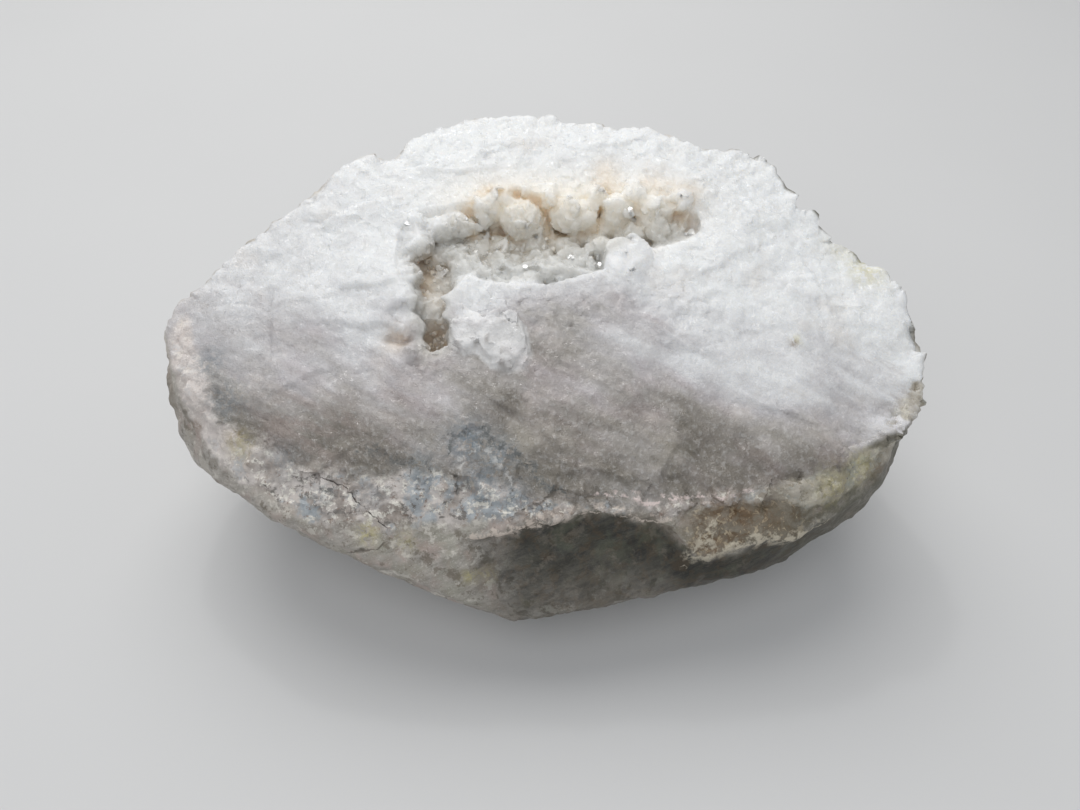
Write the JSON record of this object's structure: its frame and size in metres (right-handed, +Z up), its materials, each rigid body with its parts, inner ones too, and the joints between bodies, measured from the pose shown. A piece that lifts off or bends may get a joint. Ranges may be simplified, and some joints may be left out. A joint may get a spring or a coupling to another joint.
{
  "type": "geode half",
  "caption": "Natural quartz geode half resting broken face up, with a weathered rind and a hooked crystal-lined cavity under an overhanging back wall.",
  "frame": {"origin": "middle of the bounding box, on the surface that the stone rests on", "axes": "+X along the stone's longest side, +Y to the back, where the broken face is highest, +Z up"},
  "size_m": [0.1296, 0.0846, 0.0596],
  "materials": {
    "milky_quartz": "broken milky quartz, granular and translucent white, with a weathered grey-brown rind and a small glittering crystal lining"
  },
  "bodies": {
    "root": {"geode_half": "milky_quartz"}
  },
  "joints": []
}
